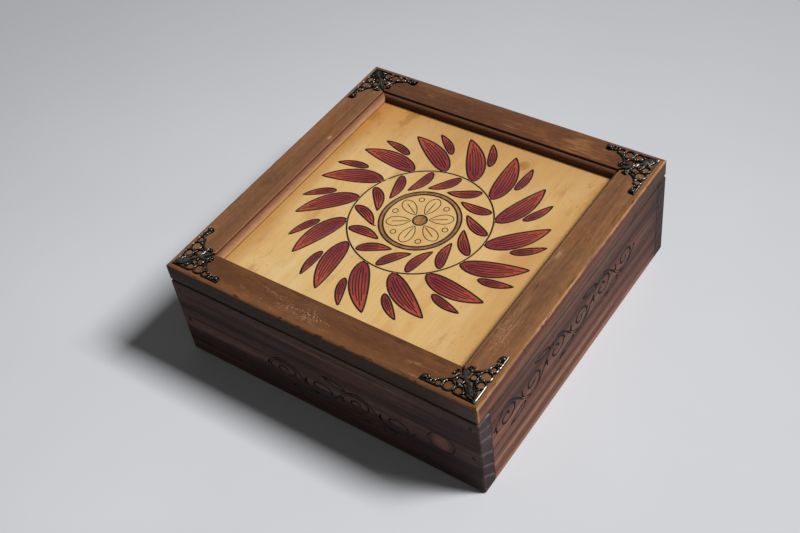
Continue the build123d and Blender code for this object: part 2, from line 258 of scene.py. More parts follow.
def body_wood(name, along, pith, tilt, seed, knot=None, run_darkening=0.0, wear=0.3, shade=1.0,
              foot=(1.0, 6, 26), upper=(1.0, 24, 8), rim=0.7,
              ends=("452f2d", "5c4641", 0.85), dark_end=0.0, reds=(1.07, 0.97), blues=(0.86, 0.97)):
    """Dark stained pine outside, bare pine inside, rubbed along the outer edges.

    foot and upper are a factor and the heights between which it comes in, in millimetres up from the table
    or down from the seam, making the side lighter or darker towards the table and towards the seam. shade is
    a painted level of light for the whole side, and rim is painted light and shade on the top edge just below
    the seam. ends are the low and high tones of the end grain, and the share of its rings.
    """
    w = Wood(name, along, pith, tilt, 8.0 * MM, seed, knot)
    end = w.step(w.absolute(w.run), half_side - 0.6 * MM, half_side - 0.2 * MM)
    w.figure("573a33", "745349", 0.35, "432f2c", "75493e", 0.55, 0.16)
    w.over(w.step(w.band, 0.50, 0.64, 0.0, 0.85), "8a6456")
    w.over(w.step(w.band, 0.49, 0.35, 0.0, 0.85), "362624")
    w.over(w.step(w.blotch, 0.50, 0.72, 0.0, 0.5), "704236")
    w.over(w.step(w.blotch, 0.48, 0.28, 0.0, 0.4), "443336")
    w.over(w.product(w.line, 0.55), "2a1c1b")
    w.over(w.product(w.fleck, 0.5), "241716")
    end_wood = w.mix(w.span(w.z, 5, 50), ends[0], ends[1])
    end_wood = w.mix(w.step(w.late, 0.70, 0.97, 0.0, ends[2]), end_wood, "8c716a")
    w.over(w.product(end, 0.95), end_wood)
    # Darker towards one end of the board, from 20 to 90 mm along it.
    w.over(w.span(w.run, 20, 90, 0.0, run_darkening), "33252a")
    w.over(w.span(w.run, 76, 95, 0.0, dark_end), "2a211f")
    if w.knot is not None:
        w.over(w.product(w.knot, 0.8), w.mix(w.streak, "6a4137", "8f574a"))
        w.over(w.product(w.heart, 0.6), "b0745f")
        broken = w.step(w.swing((90, 90, 90), seed + 8), -0.14, -0.02)
        w.over(w.product(w.rim, broken, 0.9), "0c0808")
    out = w.outward()
    side = w.minus(half_side, out)
    upright = w.minus(half_side, w.smaller(w.absolute(w.x), w.absolute(w.y)))
    rub = w.product(w.swing((45, 45, 90), seed + 3), 5.0 * MM)
    worn = w.smaller(w.edge(side, upright), w.edge(side, w.z))
    worn = w.span(w.total(worn, rub), 1.5, 0.2, 0.0, wear)
    w.over(worn, "8a6049")
    # The top edge just below the seam, which rim lightens or darkens as painted light and shade.
    lip_light = w.product(w.step(w.z, seam - 1.9 * MM, seam - 0.7 * MM), w.span(side, 1.2, 0.5))
    dim = w.product(
        w.minus(1.0, worn),
        w.step(w.grained(190, 380, seed + 29, 4.0, 0.7), 0.30, 0.70, -0.12, 0.12),
    )
    # Painted light and shade: the side's level (shade) and the top edge below the seam (rim); foot and upper
    # make it lighter or darker towards the table and the seam.
    dim = w.product(
        w.total(dim, shade),
        w.step(w.grained(3.5, 520, seed + 41, 2.0), 0.32, 0.68, 0.84, 1.16),
        w.step(w.z, foot[1] * MM, foot[2] * MM, foot[0], 1.0),
        w.step(w.z, seam - upper[1] * MM, seam - upper[2] * MM, 1.0, upper[0]),
        w.total(w.product(lip_light, rim - 1.0), 1.0),
    )
    red = w.product(dim, w.step(w.z, 8 * MM, seam - 8 * MM, *reds), w.minus(1.0, w.product(lip_light, 0.2)))
    blue = w.product(dim, w.step(w.z, 8 * MM, seam - 8 * MM, *blues))
    w.dim(red, dim, blue)
    stained = w.colour
    w.figure("c79a66", "a8733f", 0.8, "bb8b57", "d8b27c")
    bleed = w.total(out, w.product(w.minus(w.streak, 0.5), 1.5 * MM))
    outside = w.step(bleed, inner_half + 0.1 * MM, inner_half + 0.7 * MM)
    under = w.span(w.z, 3.0, 0.4, 0.0, 0.4)
    w.over(w.larger(outside, under), stained)
    rough = w.step(w.streak, 0.3, 0.7, 0.66, 0.54)
    return w.finish(rough, w.bump(w.relief(), 0.07 * MM), specular_ior_level=0.10)


def rail_wood(name, along, pith, tilt, seed, stains, wear, sides, bead_light_and_shade, bead_share,
              step_face_light_and_shade, lip_wear_and_highlight, crest_wear_and_highlight, marks=(), scuffs=(), far_end=None):
    """Brown stained lid rails, worn along their outer edges.

    sides are the dark, light, streak and hem tones of the outer side. marks and scuffs are a place and
    a size along and across the grain in millimetres, a tone and a share. The crest is wear with a painted
    highlight; the step face, the lip line at the step and the bead tones are painted light and shade on
    the moulding, set rail by rail.
    """
    w = Wood(name, along, pith, tilt, 7.5 * MM, seed)
    out = w.outward()
    side = w.minus(half_side, out)
    low = w.minus(w.z, lid_top)
    w.figure(stains[0], stains[1], 0.45, "5a3a25", stains[1], 0.35, 0.10)
    cloud = w.grained(22, 48, seed + 21, 5.0, 0.62)
    w.over(w.step(cloud, 0.52, 0.70, 0.0, 0.45), "8a5831")
    w.over(w.step(cloud, 0.47, 0.30, 0.0, 0.60), "543c28")
    outer = w.total(side, w.waver(14, 70, seed + 23, 12))
    w.over(w.span(outer, 11, 2, 0.0, 0.55 * wear), "9a6b42")
    scuff = w.grained(60, 170, seed + 11, 5.0, 0.75)
    w.over(w.step(scuff, 0.58, 0.72, 0.0, 0.50), "a37850")
    scratch = w.grained(26, 620, seed + 12, 4.0, 0.7)
    w.over(w.product(w.step(scratch, 0.60, 0.72), w.step(cloud, 0.42, 0.62), 0.5), "b08a68")
    w.over(w.product(w.line, 0.25), "3f2716")
    w.over(w.product(w.fleck, 0.30), "2c1a12")
    top_face = w.span(low, -4.0, -2.0)
    for index, (place, size, colour, share) in enumerate(marks):
        w.over(w.product(w.mark(place, size, seed + 31 + index), top_face, share), colour)
    dots = w.step(w.grained(900, 1500, seed + 43, 3.0, 0.7), 0.50, 0.66)
    for index, (place, size, colour, share) in enumerate(scuffs):
        w.over(w.product(w.mark(place, size, seed + 47 + index), dots, top_face, share), colour)

    face = w.mix(w.step(w.band, 0.36, 0.64), sides[0], sides[1])
    smudge = w.grained(10, 190, seed + 25, 4.0, 0.65)
    lower = w.span(low, -3.0, -7.5, 0.15, 1.0)
    face = w.mix(w.product(w.step(smudge, 0.42, 0.60), lower, wear), face, sides[2])
    hem = w.product(w.span(low, -9.8, -10.8), w.step(smudge, 0.40, 0.56), wear)
    face = w.mix(hem, face, sides[3])
    if far_end is not None:
        first, last, colour, share = far_end
        face = w.mix(w.step(w.run, first, last, 0.0, share), face, colour)
    w.over(w.span(side, 1.2, 0.3, 0.0, 0.95), face)

    rub = w.step(w.grained(24, 60, seed + 3, 4.0, 0.6), 0.36, 0.60, 0.35, 1.0)
    fray = w.waver(160, 300, seed + 4, 0.7)
    upright = w.minus(half_side, w.smaller(w.absolute(w.x), w.absolute(w.y)))
    ridge = w.span(w.total(w.edge(side, low), fray), 1.4, 0.4)
    post = w.span(w.total(w.edge(side, upright), fray), 2.2, 0.4)
    # Wear along the outer top edge, with a painted highlight where the edge meets the light.
    w.over(w.product(w.larger(ridge, post), rub, crest_wear_and_highlight[1]), crest_wear_and_highlight[0])
    nick = w.step(w.grained(110, 420, seed + 6, 3.0, 0.6), 0.57, 0.64)
    w.over(w.product(nick, w.span(w.edge(side, low), 2.2, 0.8), 0.8), "1f1311")
    mitre = w.absolute(w.minus(w.absolute(w.x), w.absolute(w.y)))
    w.over(w.span(mitre, 0.30, 0.05, 0.0, 0.6), "2f1d13")

    inner = w.minus(side, rail_flat)
    ragged = w.waver(60, 240, seed + 14, 1.6)
    # The bead's tones from its top to its foot are painted light and shade, set rail by rail.
    bead_shaded_wood = w.mix(w.span(w.total(low, ragged), -1.5, -4.6), bead_light_and_shade[0], bead_light_and_shade[1])
    bead_shaded_wood = w.mix(w.step(w.fibre, 0.3, 0.75, 0.0, 0.25), bead_shaded_wood, bead_light_and_shade[0])
    w.over(w.span(inner, 0.2, 0.7, 0.0, bead_share), bead_shaded_wood)
    # Painted light and shade on the upright face of the step, set rail by rail.
    rise = w.span(w.absolute(inner), 0.45, 0.15)
    rise = w.product(rise, w.span(low, -0.15, -0.4), w.span(low, -2.3, -1.7))
    w.over(w.product(rise, 0.9), step_face_light_and_shade)
    # A thin line at the edge of the step: wear with a painted highlight.
    lip_light = w.product(w.span(w.absolute(inner), 0.7, 0.1), w.span(low, -0.4, -0.1))
    w.over(w.product(lip_light, 0.8), lip_wear_and_highlight)
    # Painted shade at the foot of the moulding, where it meets the panel.
    hollow = w.step(w.z, panel_top + 1.1 * MM, panel_top + 0.3 * MM, 0.0, 0.8)
    w.over(w.product(hollow, w.span(inner, 1.0, 2.0)), "3d2211")
    mottle = w.step(w.grained(210, 420, seed + 27, 4.0, 0.7), 0.30, 0.70, 0.88, 1.12)
    w.dim(mottle, mottle, mottle)
    rough = w.step(w.streak, 0.3, 0.7, 0.64, 0.50)
    return w.finish(rough, w.bump(w.relief(), 0.05 * MM), specular_ior_level=0.13)


class PanelWood(Wood):
    """The golden wood of the lid panel, shared by its bare, painted and stained places."""

    def __init__(self, name):
        pith, knot = (8 * MM, -160 * MM), (64.6 * MM, 27.9 * MM, 4.5 * MM)
        super().__init__(name, "Y", pith, 0.02, 9 * MM, 3.0, knot, flat=True)

    def bare(self):
        self.figure("dcb576", "e1be84", 0.5, "cfa266", "e6cc98", 0.4, 0.06)
        warm = self.grained(16, 34, 8.0, 5.0, 0.6)
        self.over(self.step(warm, 0.50, 0.70, 0.0, 0.55), "c98f52")
        self.over(self.step(warm, 0.46, 0.28, 0.0, 0.55), "e6cb99")
        far = self.larger(self.span(self.y, 15, 80), self.span(self.x, 35, 85, 0.0, 0.8))
        self.over(self.product(far, 0.60), "b78246")
        wisp = self.grained(34, 110, 9.0, 6.0, 0.72)
        patch = self.step(self.grained(18, 18, 11.0, 2.0), 0.42, 0.62)
        self.over(self.product(self.step(wisp, 0.50, 0.68), patch, 0.7), "b07a3e")
        smear = self.grained(55, 90, 19.0, 5.0, 0.7)
        self.over(self.step(smear, 0.55, 0.74, 0.0, 0.5), "bf8b50")
        rust = self.span(self.minus(self.y, self.x), 95, 145)
        self.over(self.product(rust, 0.45), "c98238")
        self.over(self.product(self.step(smear, 0.50, 0.66), rust, 0.75), "96602c")
        side = self.total(self.x, self.waver(40, 200, 12.0, 3))
        self.over(self.span(side, -65, -79, 0.0, 0.62), "aa7231")
        speck = self.grained(760, 760, 10.0, 2.0, 0.6)
        self.over(self.product(self.step(speck, 0.64, 0.72), patch, 0.55), "7a5229")
        heart = self.product(self.knot, self.step(smear, 0.36, 0.60, 0.35, 0.85))
        self.over(self.larger(heart, self.product(self.rim, 0.35)), "a46c33")

    def varnish(self, height, distance):
        rough = self.step(self.fibre, 0.3, 0.7, 0.50, 0.40)
        return self.finish(
            rough, self.bump(height, distance), specular_ior_level=0.25, coat_weight=0.2, coat_roughness=0.2
        )


def panel_wood():
    w = PanelWood("panel_varnished")
    w.bare()
    return w.varnish(w.total(w.product(w.fibre, 0.6), w.product(w.streak, 0.5)), 0.03 * MM)


def panel_stain():
    """Brown stain in the ring and the boss of the rosette."""
    w = PanelWood("panel_stained")
    cloud = w.grained(160, 160, 14.0, 4.0, 0.6)
    w.colour = w.mix(w.step(cloud, 0.35, 0.68), "7a4c2b", "ab7a47")
    w.over(w.step(w.fibre, 0.35, 0.8, 0.0, 0.35), "c0935c")
    return w.varnish(w.fibre, 0.03 * MM)


def leaf_paint():
    """Thin red paint, brushed along each leaf, with the wood just showing through."""
    w = PanelWood("leaf_paint")
    brush = w.nodes.new("ShaderNodeAttribute")
    brush.attribute_name = "leaf"
    along = w.feed(w.nodes.new("ShaderNodeSeparateXYZ"), brush.outputs["Vector"])
    stroke = w.noise(brush.outputs["Vector"], (2.2, 9.0, 17.0), 4.0, 4.0, 0.65)
    wash = w.noise(brush.outputs["Vector"], (1.3, 2.1, 13.0), 7.0, 3.0, 0.6)
    tip = w.step(w.total(along, w.product(w.minus(wash, 0.5), 0.7)), 0.10, 0.95)
    w.colour = w.mix(tip, "7c262b", "ad4a36")
    w.over(w.step(stroke, 0.50, 0.30, 0.0, 0.75), "66191f")
    w.over(w.step(stroke, 0.56, 0.76, 0.0, 0.6), "bb5c4a")
    w.over(w.step(w.fibre, 0.60, 0.84, 0.0, 0.30), "c07a52")
    height = w.total(w.product(stroke, 0.6), w.product(w.fibre, 0.5))
    return w.varnish(height, 0.05 * MM)


def burnt_line(name, dark, brown):
    """The scorched inside of a cut line."""
    w = Shader(bpy.data.materials.new(name))
    vector = w.position()[0]
    char = w.noise(vector, (500, 500, 500), 2.0, 3.0, 0.6)
    w.colour = w.mix(w.step(char, 0.35, 0.75), dark, brown)
    rough = w.step(char, 0.3, 0.7, 0.75, 0.5)
    return w.finish(rough, w.bump(char, 0.06 * MM), specular_ior_level=0.3)


def bare_board(name, seed):
    """The plain plywood of the underside."""
    w = Wood(name, "X", (0.0, -140 * MM), 0.03, 8 * MM, seed)
    w.figure("b98f5f", "a97d4d", 0.8, "a67a4c", "cba676")
    w.over(w.step(w.blotch, 0.5, 0.75, 0.0, 0.4), "96714a")
    layers_per_metre, edge_start = 750.0, 94.6 * MM
    layers = w.math("FRACT", w.product(w.z, layers_per_metre))
    edge_band = w.product(w.step(layers, 0.45, 0.55), w.step(w.outward(), edge_start, 94.8 * MM))
    w.over(w.product(edge_band, 0.6), "7b5a38")
    rough = w.step(w.fibre, 0.3, 0.7, 0.8, 0.66)
    return w.finish(rough, w.bump(w.relief(), 0.05 * MM), specular_ior_level=0.25)


def metal(name, dark, bright, patina, low, high, scale, rough, rim=None):
    """Old metal: dark in the hollows, rubbed bright on what stands out, with patches of patina.

    low and high are the heights between which it brightens. rim is the axis and the share of a painted
    highlight along one outer edge, on the side that faces the lamp.
    """
    w = Shader(bpy.data.materials.new(name))
    vector, x, y, z = w.position()
    cloud = w.noise(vector, (scale, scale, scale), 1.0, 4.0, 0.6)
    grit = w.noise(vector, (2600, 2600, 2600), 5.0, 2.0, 0.6)
    raised = w.total(z, w.product(w.minus(cloud, 0.5), (high - low) * 1.6))
    w.colour = w.mix(w.step(raised, low, high), dark, bright)
    w.over(w.step(cloud, 0.52, 0.68, 0.0, 0.75), patina)
    roughness = w.total(w.step(cloud, 0.3, 0.7, rough - 0.08, rough + 0.14), w.product(grit, 0.08))
    if rim is not None:
        axis, share = rim
        # Painted highlight along one outer edge, where the lamp's glint falls.
        edge_glint = w.product(w.span((x, y)[axis], 0.75, 0.45), w.span(z, 0.45, 0.75), share)
        w.over(edge_glint, "9a958c")
        roughness = w.total(roughness, w.product(edge_glint, 0.16))
    return w.finish(roughness, w.bump(grit, 0.03 * MM), metallic=1.0)


# Shapes

def sweep(mesh, path, profile, place, closed=False):
    """A closed tube of one profile along a flat path. place() sets a point of the flat drawing in space."""
    rings = []
    for index, (a, b) in enumerate(path):
        before = path[index - 1] if index or closed else path[0]
        after = path[(index + 1) % len(path)] if index + 1 < len(path) or closed else path[-1]
        run_a, run_b = after[0] - before[0], after[1] - before[1]
        length = math.hypot(run_a, run_b)
        rings.append([
            mesh.verts.new(place(a - run_b / length * side, b + run_a / length * side, height))
            for side, height in profile
        ])
    following = rings[1:] + rings[:1] if closed else rings[1:]
    for ring, after in zip(rings, following):
        for j in range(len(profile)):
            k = (j + 1) % len(profile)
            mesh.faces.new((ring[j], ring[k], after[k], after[j]))
    if not closed:
        mesh.faces.new(rings[0])
        mesh.faces.new(rings[-1])


def ring_path(centre, radius, count):
    turns = [2 * math.pi * i / count for i in range(count)]
    return [(centre[0] + radius * math.cos(turn), centre[1] + radius * math.sin(turn)) for turn in turns]


class Leaf:
    """A pointed leaf on a bowed middle line."""

    fullness, root_power, tip_power = 1.93, 0.55, 0.85

    def __init__(self, start, end, width, bow=0.0):
        self.start, self.width, self.bow = start, width, bow
        run = (end[0] - start[0], end[1] - start[1])
        self.length = math.hypot(*run)
        self.along = (run[0] / self.length, run[1] / self.length)
        self.across = (-self.along[1], self.along[0])

    def half_width(self, t, side=1):
        """A share of the half width at a share t of the length."""
        return side * self.width * self.fullness * t ** self.root_power * (1 - t) ** self.tip_power

    def point(self, t, side):
        """The point at a share t of the length and a share side of the half width."""
        lift = self.half_width(t, side) + 4 * self.bow * t * (1 - t)
        return (
            self.start[0] + t * self.length * self.along[0] + lift * self.across[0],
            self.start[1] + t * self.length * self.along[1] + lift * self.across[1],
        )

    def outline(self, count):
        shares = [(1 - math.cos(math.pi * i / count)) / 2 for i in range(count + 1)]
        return [self.point(t, 1) for t in shares] + [self.point(t, -1) for t in shares[-2:0:-1]]

    def vein(self, first, last, side, count):
        return [self.point(first + (last - first) * i / count, side) for i in range(count + 1)]

    def coordinates(self, point):
        """How far along the leaf a point is, as a share of its length, and how far across."""
        gap = (point[0] - self.start[0], point[1] - self.start[1])
        t = (gap[0] * self.along[0] + gap[1] * self.along[1]) / self.length
        return t, gap[0] * self.across[0] + gap[1] * self.across[1]

    def within(self, point):
        t, off = self.coordinates(point)
        return 0 < t < 1 and abs(off - 4 * self.bow * t * (1 - t)) <= self.half_width(t)


def add(name, data):
    thing = bpy.data.objects.new(name, data)
    scene.collection.objects.link(thing)
    return thing


def coat(piece, *materials):
    piece.data.materials.clear()
    for material in materials:
        piece.data.materials.append(material)


def new_piece(name, mesh):
    """An object from a bmesh, without the normals of the mesh that it was copied from."""
    bmesh.ops.recalc_face_normals(mesh, faces=mesh.faces)
    data = bpy.data.meshes.new(name)
    mesh.to_mesh(data)
    mesh.free()
    if "custom_normal" in data.attributes:
        data.attributes.remove(data.attributes["custom_normal"])
    return add(name, data)


same_way = 0.9999


def smooth(piece, degrees, flat_way=None):
    """Shade a piece smooth between its sharp edges, or flat in its cut lines and where it faces one way."""
    piece.data.set_sharp_from_angle(angle=math.radians(degrees))
    for face in piece.data.polygons:
        uncut = face.material_index == 0
        face.use_smooth = flat_way is None or (uncut and face.normal.dot(flat_way) < same_way)


weld_distance = 0.001 * MM


def copy_of(node, name, ways=(), cell=8 * MM):
    """A welded copy of a node's solid, divided into cells across the given directions."""
    mesh = bmesh.new()
    mesh.from_mesh(nodes[node].data)
    bmesh.ops.remove_doubles(mesh, verts=mesh.verts, dist=weld_distance)
    low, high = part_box(node)
    for way in ways:
        axis = Vector(way)
        first, last = sorted((low.dot(axis), high.dot(axis)))
        for i in range(1, int((last - first) / cell) + 1):
            parts = mesh.verts[:] + mesh.edges[:] + mesh.faces[:]
            middle = axis * (first + (i - 0.5) * cell)
            bmesh.ops.bisect_plane(mesh, geom=parts, plane_co=middle, plane_no=axis)
    return new_piece(name, mesh)


def cut(piece, cutter, operation="DIFFERENCE"):
    """Cut one closed shape out of another, and take the cutter away."""
    change = piece.modifiers.new("cut", "BOOLEAN")
    change.operation = operation
    change.solver = "MANIFOLD"
    change.object = cutter
    data = bpy.data.meshes.new_from_object(piece.evaluated_get(bpy.context.evaluated_depsgraph_get()))
    piece.modifiers.clear()
    whole = bmesh.new()
    whole.from_mesh(data)
    bmesh.ops.triangulate(whole, faces=whole.faces, ngon_method="EAR_CLIP")
    whole.to_mesh(data)
    whole.free()
    old = piece.data
    piece.data = data
    bpy.data.meshes.remove(old)
    bpy.data.objects.remove(cutter)


def dress(piece, materials, choose):
    """Give a piece its materials, chosen face by face from the face's middle."""
    coat(piece, *materials)
    for face in piece.data.polygons:
        face.material_index = int(choose(face.center))


def groove(width, depth, rise=0.15):
    """The section of a cut line, with its sides carried a little above the surface."""
    flare = width / 2 * (1 + rise / depth * 0.6)
    floor_share = 0.3
    foot = floor_share * width / 2
    return [(-flare, rise), (-foot, -depth), (foot, -depth), (flare, rise)]


def replace(piece, node, body):
    """Stand a piece in for a node, on the node's body."""
    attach(piece, body)
    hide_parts(node)


# Carved running scroll on the front and right boards

scroll_right = {"start": -88.0, "height": 37.5, "length": 150.0, "wave": 50.0, "swing": 9.0}
scroll_front = {"start": -38.0, "height": 23.5, "length": 98.0, "wave": 49.0, "swing": 9.0}
carved_width, carved_depth = 1.5, 0.6
stem_points_per_mm = 1.2
curl_points, curl_start, curl_turn = 40, 205, 560


def scroll(band):
    """The lines of a running vine: its stem, a curl in every hollow and a leaf over it."""
    length, wave, swing = band["length"], band["wave"], band["swing"]
    count = int(length * stem_points_per_mm)
    stem = []
    for i in range(count + 1):
        stem.append((length * i / count, swing * math.sin(2 * math.pi * length * i / count / wave)))
    lines = [(stem, False)]
    halves = int(round(2 * length / wave))
    for half in range(halves):
        up = 1 if half % 2 == 0 else -1
        middle = (half + 0.5) * wave / 2
        curl = []
        for i in range(curl_points + 1):
            t = i / curl_points
            angle = math.radians(curl_start - curl_turn * t)
            wide = wave * (0.185 * (1 - t) + 0.03)
            tall = swing * (0.70 * (1 - t) + 0.16)
            curl.append((middle + wide * math.cos(angle), up * (0.04 * swing + tall * math.sin(angle))))
        lines.append((curl, False))
        if half:
            root = (middle - 0.15 * wave, up * 0.86 * swing)
            tip = (middle - 0.44 * wave, up * 1.24 * swing)
            lines.append((Leaf(root, tip, 0.27 * swing).outline(10), True))
    return lines


def carve(node, band, place, reach, wood):
    """Cut a scroll into a copy of a board, and burn its lines as far as a reach from the board's middle."""
    face = place(0, 0, 0)
    facing = (place(0, 0, 1) - face).normalized()
    level = (place(1, 0, 0) - face).normalized()

    def burnt(middle):
        """True in the cut lines: a little below the face, at the height of the scroll."""
        sink = half_side - middle.dot(facing)
        off = abs(middle.z / MM - band["height"])
        return 0.01 * MM < sink < 1.0 * MM and off < 1.5 * band["swing"] and abs(middle.dot(level)) < reach

    board = copy_of(node, f"{node}_carved", (level, (0, 0, 1)))
    mesh = bmesh.new()
    for path, closed in scroll(band):
        sweep(mesh, path, groove(carved_width, carved_depth), place, closed)
    cut(board, new_piece("cutter", mesh))
    dress(board, [wood, carved_line], burnt)
    smooth(board, 30, facing)
    replace(board, node, "box")


carved_line = burnt_line("carved_line", "0c0706", "1c110d")
# shade and rim are the painted light and shade on each board's side and on its top edge below the seam.
right_wood = body_wood(
    "right_stained", "Y", (140 * MM, -120 * MM), 0.02, 11.0,
    run_darkening=0.35, wear=0.5, shade=1.07, foot=(1.25, 6, 26), upper=(0.80, 24, 8), rim=0.52, dark_end=0.6,
)
front_wood = body_wood(
    "front_stained", "X", (-128 * MM, -25 * MM), 0.02, 23.0, knot=(76 * MM, 27.7 * MM, 5.6 * MM),
    run_darkening=0.45, shade=0.84, foot=(0.78, 26, 40), upper=(0.80, 10, 2), rim=2.4,
    reds=(0.88, 0.88), blues=(1.08, 1.08),
)


def on_right(a, b, h):
    return Vector((half_side + h * MM, (a + scroll_right["start"]) * MM, (b + scroll_right["height"]) * MM))


def on_front(a, b, h):
    return Vector(((a + scroll_front["start"]) * MM, -half_side - h * MM, (b + scroll_front["height"]) * MM))


carve("right_board", scroll_right, on_right, inner_half - 0.5 * MM, right_wood)
carve("front_board", scroll_front, on_front, 70 * MM, front_wood)

# Lid panel: a wreath of painted leaves round a six-petalled rosette, all in burnt outline

wreath_count = 14
stem_radius = 41.0
frame_radii = (20.8, 23.2)
boss_radius = 4.0
petal_count = 6
seed_radius, seed_place = 1.6, 16.6
# Leaves of the wreath: radius and turn of the root, radius and turn of the tip, half width and bow
outer_leaf = (stem_radius + 1.2, 0, 72.5, 22, 7.3, -2.0)
edge_leaf = (57.0, 27.5, 73.5, 36.5, 3.2, -0.8)
inner_leaf = (stem_radius - 1.4, 10, 26.3, 36, 3.9, 1.5)
# Veins of a leaf: a share of its half width, and where each starts and ends along it
outer_veins = (
    (-0.62, 0.24, 0.66), (-0.31, 0.13, 0.78), (0, 0.08, 0.88), (0.31, 0.13, 0.78), (0.62, 0.24, 0.66),
)
small_veins = ((-0.42, 0.22, 0.62), (0, 0.14, 0.82), (0.42, 0.22, 0.62))
BARE, BURNT, PAINTED, STAINED = range(4)


def polar(radius, degrees):
    return radius * math.cos(math.radians(degrees)), radius * math.sin(math.radians(degrees))


def wreath_leaf(i, root, root_turn, tip, tip_turn, width, bow):
    turn = 360 / wreath_count * i
    return Leaf(polar(root, turn + root_turn), polar(tip, turn + tip_turn), width, bow)


outer_leaves = []
small_leaves = []
petals = []
for i in range(wreath_count):
    outer_leaves.append(wreath_leaf(i, *outer_leaf))
    small_leaves.append(wreath_leaf(i, *edge_leaf))
    small_leaves.append(wreath_leaf(i, *inner_leaf))
for i in range(petal_count):
    turn = 360 / petal_count * (i + 0.5)
    petals.append(Leaf(polar(frame_radii[0] - 1.8, turn), polar(boss_radius + 1.2, turn), 4.9))

panel = copy_of("lid_panel", "lid_panel_drawn", ((1, 0, 0), (0, 1, 0)))
cutter = bmesh.new()


def on_panel(a, b, h):
    return Vector((a * MM, b * MM, panel_top + h * MM))


bold, fine = groove(1.05, 0.35), groove(0.55, 0.25)
for leaf in outer_leaves:
    sweep(cutter, leaf.outline(14), bold, on_panel, True)
    for side, first, last in outer_veins:
        sweep(cutter, leaf.vein(first, last, side, 8), fine, on_panel)
for leaf in small_leaves:
    sweep(cutter, leaf.outline(11), bold, on_panel, True)
    for side, first, last in small_veins:
        sweep(cutter, leaf.vein(first, last, side, 6), fine, on_panel)
for leaf in petals:
    sweep(cutter, leaf.outline(11), fine, on_panel, True)
    sweep(cutter, leaf.vein(0.25, 0.90, 0, 6), fine, on_panel)
for radius, count in ((stem_radius, 120), (frame_radii[0], 64), (frame_radii[1], 72), (boss_radius, 24)):
    sweep(cutter, ring_path((0, 0), radius, count), bold, on_panel, True)
for i in range(petal_count):
    spot = polar(seed_place, 360 / petal_count * i)
    sweep(cutter, ring_path(spot, seed_radius, 16), fine, on_panel, True)
cut(panel, new_piece("cutter", cutter))
painted = outer_leaves + small_leaves


def panel_face(middle):
    """Which of the panel's four finishes a face has, by its place in the drawing."""
    if middle.z < panel_top - 0.5 * MM:
        return BARE
    if middle.z < panel_top - 0.005 * MM:
        return BURNT
    spot = (middle.x / MM, middle.y / MM)
    radius = math.hypot(*spot)
    if radius < boss_radius or frame_radii[0] < radius < frame_radii[1]:
        return STAINED
    return PAINTED if any(leaf.within(spot) for leaf in painted) else BARE


panel_materials = [panel_wood(), burnt_line("burnt_outline", "1a0d0a", "33190f"), leaf_paint(), panel_stain()]
dress(panel, panel_materials, panel_face)
brush = panel.data.attributes.new("leaf", "FLOAT_VECTOR", "CORNER")
for face in panel.data.polygons:
    if face.material_index == PAINTED:
        spot = (face.center.x / MM, face.center.y / MM)
        index = next(i for i, leaf in enumerate(painted) if leaf.within(spot))
        leaf = painted[index]
        for corner in face.loop_indices:
            x, y, _ = panel.data.vertices[panel.data.loops[corner].vertex_index].co / MM
            along, across = leaf.coordinates((x, y))
            brush.data[corner].vector = (along, across / leaf.width, index)
smooth(panel, 25, Vector((0, 0, 1)))
replace(panel, "lid_panel", "lid")

# Metal corners: cast openwork of round bars, ribbed leaves and knobs, in shares of a leg or in millimetres

corner_leg = 32.0
eyelet_shares = ((0.925, 0.068), 0.068)
chain_shares = (((0.836, 0.050), 0.050), ((0.770, 0.045), 0.045))
ring_shares = (
    ((0.683, 0.080), 0.080),
    ((0.520, 0.115), 0.115),
    ((0.340, 0.095), 0.095),
    ((0.418, 0.268), 0.085),
)
curl_shares = ((0.540, 0.405), 0.058)
sweep_shares = ((0.735, 0.120), (0.505, 0.365))
knob_shares = (
    (0.612, 0.085), (0.725, 0.125), (0.600, 0.165), (0.427, 0.105), (0.470, 0.195),
    (0.385, 0.185), (0.345, 0.180), (0.247, 0.085), (0.505, 0.360), (0.575, 0.350), (0.804, 0.085),
    (0.868, 0.100),
)
diagonal_leaf_shares = (((0.000, 0.000), (0.320, 0.320), 0.052), ((0.260, 0.260), (0.530, 0.530), 0.060))
side_leaf_shares = (
    ((0.010, 0.030), (0.265, 0.115), 0.030),
    ((0.020, 0.030), (0.350, 0.225), 0.028),
    ((0.310, 0.330), (0.575, 0.350), 0.034),
)
# Rings: how far the bar lies in from the radius, the points round it, and the bar's width and height
ring_bar, eyelet_bar, chain_bar = (0.55, 24, 1.05, 1.15), (0.73, 20, 1.45, 0.9), (0.40, 18, 0.80, 1.1)
# Widths and heights of the other bars
sweep_bar, curl_bar = (1.05, 1.2), (0.80, 1.25)
tendril_radius = curl_shares[1] * corner_leg - 0.42
tendril_taper, tendril_start, tendril_turn = 0.74, 229, 450
# Bars along the outer edge: start, end, distance from the edge, width and height
edge_bars = ((0.15, 9.85, 0.6, 1.15, 1.0), (23.4, 31.7, 0.5, 0.9, 1.05))
knob_radius, knob_rise, knob_foot = 0.72, 0.55, 0.45
sweep_bow = 1.44
lowest_leaf, highest_leaf = 0.85, 1.6


def bar(width, height):
    """A bar with a flat foot and a rounded top."""
    return [(-width / 2, 0.0), (-width / 2, 0.45 * height), (-0.3 * width, 0.85 * height), (0.0, height),
            (0.3 * width, 0.85 * height), (width / 2, 0.45 * height), (width / 2, 0.0)]


def flat(a, b, h):
    return Vector((a * MM, b * MM, h * MM))


